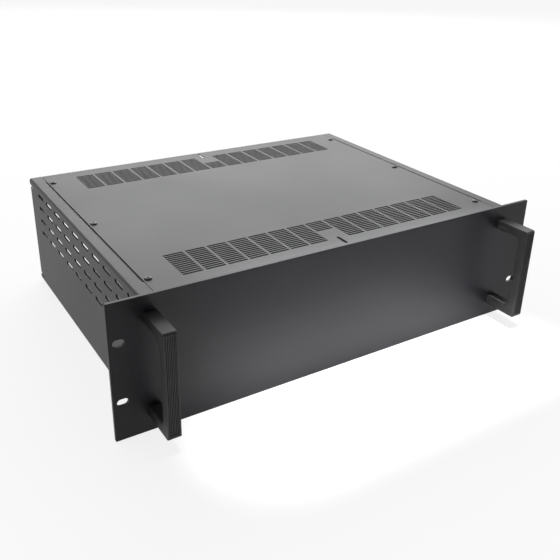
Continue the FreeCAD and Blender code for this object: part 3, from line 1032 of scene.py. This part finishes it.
@dataclass
class Handle:
    """Moulded bow handle with a ribbed strip let into its front.

    Attributes:
        side: Its end of the chassis.
        width: Its width along X.
        height: Its height.
        depth: How far it stands out.
        leg: The thickness of a leg.
        grip: The thickness of the grip.
        inner: The radius of the corners inside the bow.
        outer: The radius of those outside.
        corner_steps: How many flats a corner has, outside and inside.
        edge: The rounding of its edges: width, strips and least turn in degrees.
        soft: The rounding of the edges inside the bow: width and strips.
        groove: The width and depth of the groove for the strip.
        groove_ends: The Z of its lower and upper end.
        fit: The gap round the strip in its groove.
        base: The strip's thickness under the ribs.
        ribs: How many ribs it has.
        rib_pitch: From one rib to the next.
        rib: Half a rib's width at foot and shoulders, and the rise to its ridge.
        hole_depth: How deep the screws' holes are.
        crease: The least turn, in degrees, of an edge that is shaded sharp.
        near: How close counts as being in a place.
    """

    side: Side
    width: float = 12.0
    height: float = 101.6
    depth: float = 40.0
    leg: float = 11.0
    grip: float = 11.0
    inner: float = 5.0
    outer: float = 2.4
    corner_steps: tuple[int, int] = (5, 8)
    edge: tuple[float, int, float] = (1.1, 4, 50)
    soft: tuple[float, int] = (2.2, 4)
    groove: Pair = (9.0, 1.6)
    groove_ends: Pair = (-47.0, 48.4)
    fit: float = 0.15
    base: float = 0.9
    ribs: int = 6
    rib_pitch: float = 1.45
    rib: tuple[float, float, float] = (0.45, 0.27, 0.1)
    hole_depth: float = 9.0
    crease: float = 30
    near: float = 0.01

    @property
    def centre(self) -> float:
        """The X of its middle."""
        return self.side.value * CASE.handle_x

    @property
    def front(self) -> float:
        """The Y of its front face."""
        return -CASE.panel_sheet - self.depth

    def bow(self) -> Piece:
        """Trace the bow from the side and extrude it across.

        Returns:
            The bow, with the edges inside it rounded.
        """
        foot, top = -CASE.panel_sheet, self.height / 2
        under, back = top - self.leg, self.front + self.grip
        outer, inner = self.outer, self.inner
        outer_steps, inner_steps = self.corner_steps
        outline: Outline = [(foot, top)]
        outline += arc((self.front + outer, top - outer), outer, 90, 180, outer_steps)
        outline += arc((self.front + outer, -top + outer), outer, 180, 270, outer_steps)
        outline += [(foot, -top), (foot, -under)]
        outline += arc((back + inner, -under + inner), inner, 270, 180, inner_steps)
        outline += arc((back + inner, under - inner), inner, 180, 90, inner_steps)
        outline += [(foot, under)]
        bow = trace("bow", outline, self.centre - self.width / 2,
                    self.centre + self.width / 2, Across.X)
        self.soften(bow, back, under)
        return bow

    def soften(self, bow: Piece, back: float, under: float) -> None:
        """Round the edges that the fingers close round.

        Args:
            bow: The traced bow.
            back: The Y of the grip's back face.
            under: The Z of the upper leg's lower face.
        """
        pick(bow)
        bpy.ops.object.mode_set(mode="EDIT")
        bpy.ops.mesh.select_all(action="DESELECT")
        bpy.ops.object.mode_set(mode="OBJECT")
        near, foot = self.near * MM, -CASE.panel_sheet * MM
        place = [vertex.co.copy() for vertex in bow.data.vertices]
        inside = [here.y > back * MM - near and abs(here.z) < under * MM + near
                  for here in place]
        for edge in bow.data.edges:
            one, two = edge.vertices
            level = abs(place[one].x - place[two].x) < near
            at_foot = abs(place[one].y - foot) < near and abs(place[two].y - foot) < near
            edge.select = inside[one] and inside[two] and level and not at_foot
        bpy.ops.object.mode_set(mode="EDIT")
        bpy.ops.mesh.select_mode(type="EDGE")
        width, strips = self.soft
        bpy.ops.mesh.bevel(offset=width * MM, segments=strips, affect="EDGES")
        bpy.ops.mesh.select_mode(type="VERT")
        bpy.ops.object.mode_set(mode="OBJECT")

    def cut_groove(self, bow: Piece) -> None:
        """Cut the strip's groove and the screws' holes.

        Args:
            bow: The bow.
        """
        width, depth = self.groove
        low, high = self.groove_ends
        cut(bow, block("groove", (self.centre - width / 2, self.front - CASE.past, low),
                       (self.centre + width / 2, self.front + depth, high)))
        for sign in SIGNS:
            at = (self.centre, -CASE.panel_sheet, sign * CASE.handle_z)
            cut(bow, drum("hole", at, CASE.tapped, 2 * self.hole_depth, Across.Y))

    def strip(self) -> Piece:
        """Trace the ribbed strip from above and extrude it upwards.

        Returns:
            The strip.
        """
        width, depth = self.groove
        floor, ridge = self.front + depth, self.front
        valley, half = floor - self.base, width / 2 - self.fit
        foot, shoulder, rise = self.rib
        outline: Outline = [(self.centre - half, floor), (self.centre - half, valley)]
        first = self.centre - (self.ribs - 1) / 2 * self.rib_pitch
        for number in range(self.ribs):
            middle = first + number * self.rib_pitch
            outline += [(middle - foot, valley), (middle - shoulder, ridge + rise),
                        (middle, ridge), (middle + shoulder, ridge + rise),
                        (middle + foot, valley)]
        outline += [(self.centre + half, valley), (self.centre + half, floor)]
        low, high = self.groove_ends
        return trace("strip", outline, low + self.fit, high - self.fit, Across.Z)

    def build(self, plastic: Finish, ribbed: Finish) -> None:
        """Build and dress the handle and its strip.

        Args:
            plastic: The handle's finish.
            ribbed: The strip's finish.
        """
        name = self.side.name.lower()
        bow = self.bow()
        ease(bow, *self.edge)
        self.cut_groove(bow)
        shade(bow, self.crease)
        bow.name = f"{name}_bow"
        dress(bow, plastic, "handle_plastic", f"{name}_handle")
        strip = self.strip()
        shade(strip, self.crease)
        strip.name = f"{name}_ribbed_strip"
        dress(strip, ribbed, "grip_plastic", f"{name}_grip_strip")


# The studio.


@dataclass(frozen=True)
class SoftBox:
    """A rectangular lamp. All its lengths are in metres.

    Attributes:
        name: Its name.
        at: Its place.
        aim: The point that it faces.
        size: Its width and height.
        power: Its power in watts.
        spread: The angle of its grid, in degrees.
    """

    name: str
    at: Point
    aim: Point
    size: Pair
    power: float
    spread: float = 180

    def hang(self) -> None:
        """Add the lamp to the scene, turned to the point that it faces."""
        light = bpy.data.lights.new(self.name, "AREA")
        light.spread = math.radians(self.spread)
        light.shape = "RECTANGLE"
        light.size, light.size_y = self.size
        light.energy = self.power
        lamp = bpy.data.objects.new(self.name, light)
        bpy.context.collection.objects.link(lamp)
        lamp.location = self.at
        look = Vector(self.aim) - Vector(self.at)
        lamp.rotation_euler = look.to_track_quat("-Z", "Y").to_euler()


# Wide, behind the case: the cover gets its even sheen, and the shadow falls forwards.
BACK_BOX = SoftBox("back_box", (1.1, 2.2, 1.3), (0, 0.15, 0), (2.4, 1.6), power=44)
# A short strip of light on the floor before the panel, whose lower part reflects it.
FLOOR_BOX = SoftBox("floor_box", (0.02, -0.06, 1.0), (0.02, -0.0599, 0), (0.32, 0.05),
                    power=1.35, spread=9)
# A faint fill from the right.
RIGHT_BOX = SoftBox("right_box", (1.3, -1.2, 0.5), (0.1, 0, -0.03), (1.6, 0.9), power=0.8)


@dataclass(frozen=True)
class PhotoCamera:
    """The photograph's camera, fitted to the panel's corners and slots and to the vents.

    Attributes:
        at: Its place in metres.
        right: The way to its right.
        up: The way up.
        back: The way backwards.
        sensor: The sensor's width in millimetres.
        lens: The focal length in millimetres.
        shift: How far the view is shifted, as shares of its width.
        reach: How far it sees, in metres.
    """

    at: Point = (-0.39343, -0.49572, 0.34354)
    right: Point = (0.84294, -0.53737, 0.02612)
    up: Point = (0.20035, 0.35861, 0.91174)
    back: Point = (-0.49930, -0.76331, 0.40995)
    sensor: float = 36.0
    lens: float = 46.934
    shift: Pair = (-0.01704, -0.06023)
    reach: float = 100.0

    def stand(self) -> None:
        """Add the camera to the scene and look through it."""
        data = bpy.data.cameras.new("photo_camera")
        data.sensor_fit = "HORIZONTAL"
        data.sensor_width = self.sensor
        data.lens = self.lens
        data.shift_x, data.shift_y = self.shift
        data.clip_end = self.reach
        camera = bpy.data.objects.new("photo_camera", data)
        bpy.context.collection.objects.link(camera)
        turn = Matrix((self.right, self.up, self.back)).transposed().to_4x4()
        camera.matrix_world = Matrix.Translation(self.at) @ turn
        bpy.context.scene.camera = camera


@dataclass
class Studio:
    """White floor, even light with a dim room behind the camera, soft boxes and camera.

    Attributes:
        floor_level: The Z of the floor, which the panel stands on.
        floor_size: The floor's width and depth in metres.
        floor_colour: The paper's colour.
        floor_lift: The share of plain white in what the camera and mirrors see of it.
        room_light: The strength of the light from all round.
        room_dim: The share that is missing behind the camera.
        dim_height: From what height of the view the room dims, and where it is darkest.
        dim_depth: The same from front to back.
        boxes: The lamps.
        camera: The camera.
    """

    floor_level: float = -66.25
    floor_size: float = 40.0
    floor_colour: str = "#fafafa"
    floor_lift: float = 0.82
    room_light: float = 1.0
    room_dim: float = 0.92
    dim_height: Pair = (-0.08, 0.14)
    dim_depth: Pair = (0.1, -0.5)
    boxes: tuple[SoftBox, ...] = (BACK_BOX, FLOOR_BOX, RIGHT_BOX)
    camera: PhotoCamera = field(default_factory=PhotoCamera)

    def paper(self) -> Finish:
        """Build the floor's material: paper for the light, mostly white for the view.

        Returns:
            The material.
        """
        material = bpy.data.materials.new("white_paper_floor")
        material.use_nodes = True
        tree = material.node_tree
        tree.nodes.clear()
        paper = add_node(tree, "ShaderNodeBsdfDiffuse",
                         values={"Color": linear(self.floor_colour)})
        white = add_node(tree, "ShaderNodeEmission", values={"Strength": 1.0})
        path = add_node(tree, "ShaderNodeLightPath").outputs
        seen = path["Is Camera Ray"]
        for kind in ("Is Glossy Ray", "Is Transmission Ray"):
            seen = add_node(tree, "ShaderNodeMath", {0: seen, 1: path[kind]},
                            operation="MAXIMUM").outputs[0]
        part = add_node(tree, "ShaderNodeMath", {0: seen}, {1: self.floor_lift},
                        operation="MULTIPLY")
        mix = add_node(tree, "ShaderNodeMixShader",
                       {0: part.outputs[0], 1: paper.outputs[0], 2: white.outputs[0]})
        add_node(tree, "ShaderNodeOutputMaterial", {"Surface": mix.outputs[0]})
        return material

    def floor(self) -> None:
        """Lay the floor, which keeps the shadow and goes to white away from it."""
        deselect_all()
        bpy.ops.mesh.primitive_plane_add(size=self.floor_size,
                                         location=(0, 0, self.floor_level * MM))
        plane = bpy.context.object
        plane.name = "studio_floor"
        settle(plane)
        plane.data.materials.append(self.paper())
        plane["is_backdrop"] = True

    def sky(self) -> None:
        """Light the scene from all round, with a dim room behind the camera."""
        world = bpy.data.worlds.new("studio_air")
        bpy.context.scene.world = world
        world.use_nodes = True
        tree = world.node_tree
        back = tree.nodes["Background"]
        place = add_node(tree, "ShaderNodeTexCoord").outputs["Generated"]
        split = add_node(tree, "ShaderNodeSeparateXYZ", {"Vector": place}).outputs
        dim = [add_node(tree, "ShaderNodeMapRange", {"Value": split[axis]},
                        {"From Min": start, "From Max": end}).outputs[0]
               for axis, (start, end) in (("Z", self.dim_height), ("Y", self.dim_depth))]
        both = add_node(tree, "ShaderNodeMath", {0: dim[0], 1: dim[1]}, operation="MULTIPLY")
        level = add_node(tree, "ShaderNodeMapRange", {"Value": both.outputs[0]},
                         {"To Min": self.room_light,
                          "To Max": self.room_light * (1 - self.room_dim)})
        tree.links.new(level.outputs[0], back.inputs["Strength"])
        back.inputs["Color"].default_value = (1, 1, 1, 1)

    def build(self) -> None:
        """Build floor, light, lamps and camera, and show colours as they are written."""
        self.floor()
        self.sky()
        for box in self.boxes:
            box.hang()
        self.camera.stand()
        bpy.context.scene.view_settings.view_transform = "Standard"


def corners(bounds: object) -> list[list[float]]:
    """Turn a box's lowest and highest corner into plain lists of numbers."""
    return [[float(number) for number in corner] for corner in bounds]


def main() -> list[list[float]]:
    """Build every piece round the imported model.

    Returns:
        The solid model's box.
    """
    logging.basicConfig(level=logging.INFO)
    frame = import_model()
    LOG.info("frame with %d nodes", len(frame["nodes"]))
    solid_box = corners(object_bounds())
    case = CASE_COAT.make()
    FrontPanel().build(PANEL_COAT.make())
    for side in Side:
        SidePanel(side).build(case)
    outside, inside = CASE.half_height, CASE.half_height - CASE.cover_sheet
    Cover("top_cover", inside, outside, vented=True).build(case)
    Cover("bottom_cover", -outside, -inside, vented=False).build(case)
    ScrewSet().build(SCREW_COAT.make())
    plastic, ribbed = HANDLE_PLASTIC.make(), GRIP_PLASTIC.make()
    for side in Side:
        Handle(side).build(plastic, ribbed)
    Studio().build()
    return solid_box


if __name__ == "__main__":
    cad_box = main()
